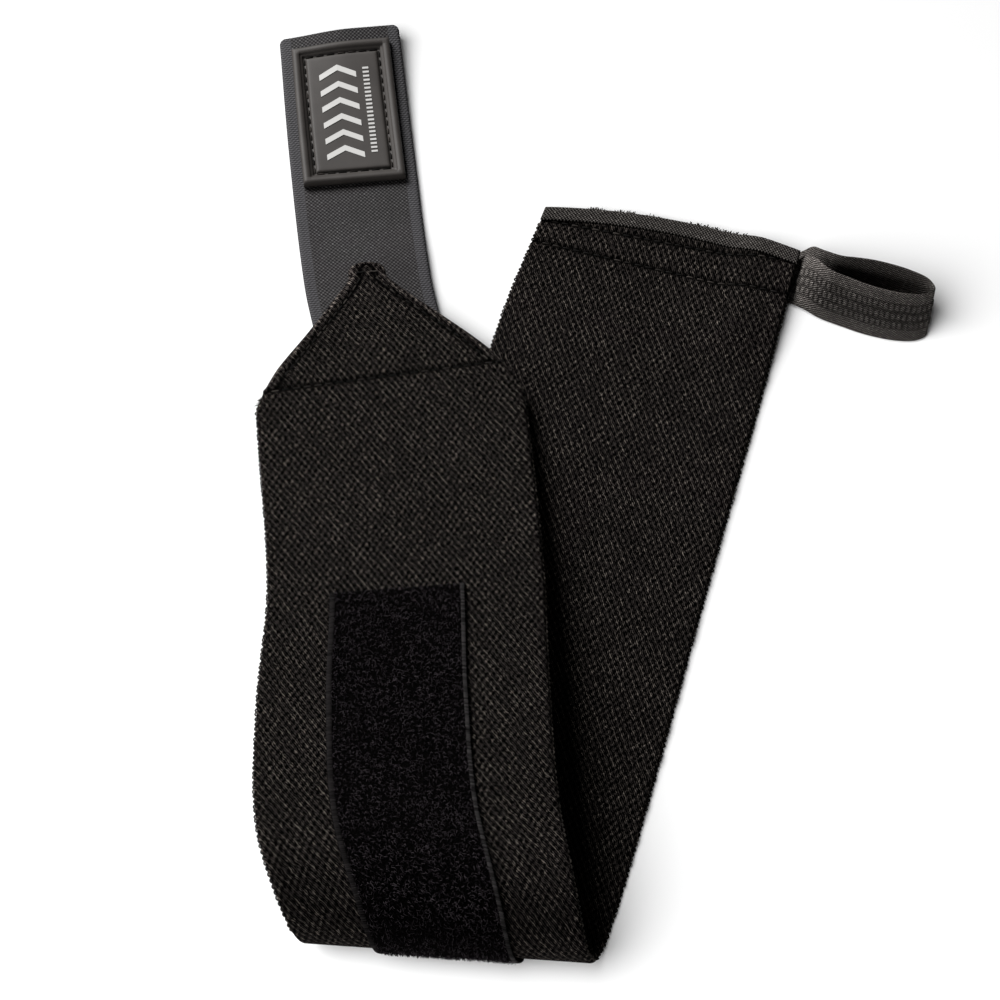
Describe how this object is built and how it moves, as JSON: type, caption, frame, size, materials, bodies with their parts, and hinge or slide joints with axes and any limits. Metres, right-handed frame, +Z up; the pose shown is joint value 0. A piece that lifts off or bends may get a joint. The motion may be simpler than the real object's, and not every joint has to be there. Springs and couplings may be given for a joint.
{
  "type": "wrist wrap",
  "caption": "Elastic wrist wrap folded once and lying flat, with a thumb loop at the hem, a pile strip on its face and a pointed end that carries a hook strap.",
  "frame": {"origin": "middle of the part's box in plan, on the surface that it lies on", "axes": "+Z up, +Y along the wrap's length from the fold towards the strap's free end, +X towards the thumb loop"},
  "size_m": [0.2014, 0.3254, 0.0289],
  "materials": {
    "woven_elastic": "coarse bird's-eye weave of black bulked yarn, matt",
    "ribbed_tape": "narrow woven elastic with short raised ribs, matt",
    "pile": "brushed loop pile, very matt",
    "hook_tape": "fine woven nylon tape with a slight glint",
    "moulded_rubber": "satin, moulded with a raised frame"
  },
  "bodies": {
    "root": {"wrap_band": "woven_elastic", "end_binding": "ribbed_tape", "thumb_loop": "ribbed_tape", "loop_patch": "pile", "strap": "hook_tape", "label": "moulded_rubber"}
  },
  "joints": []
}
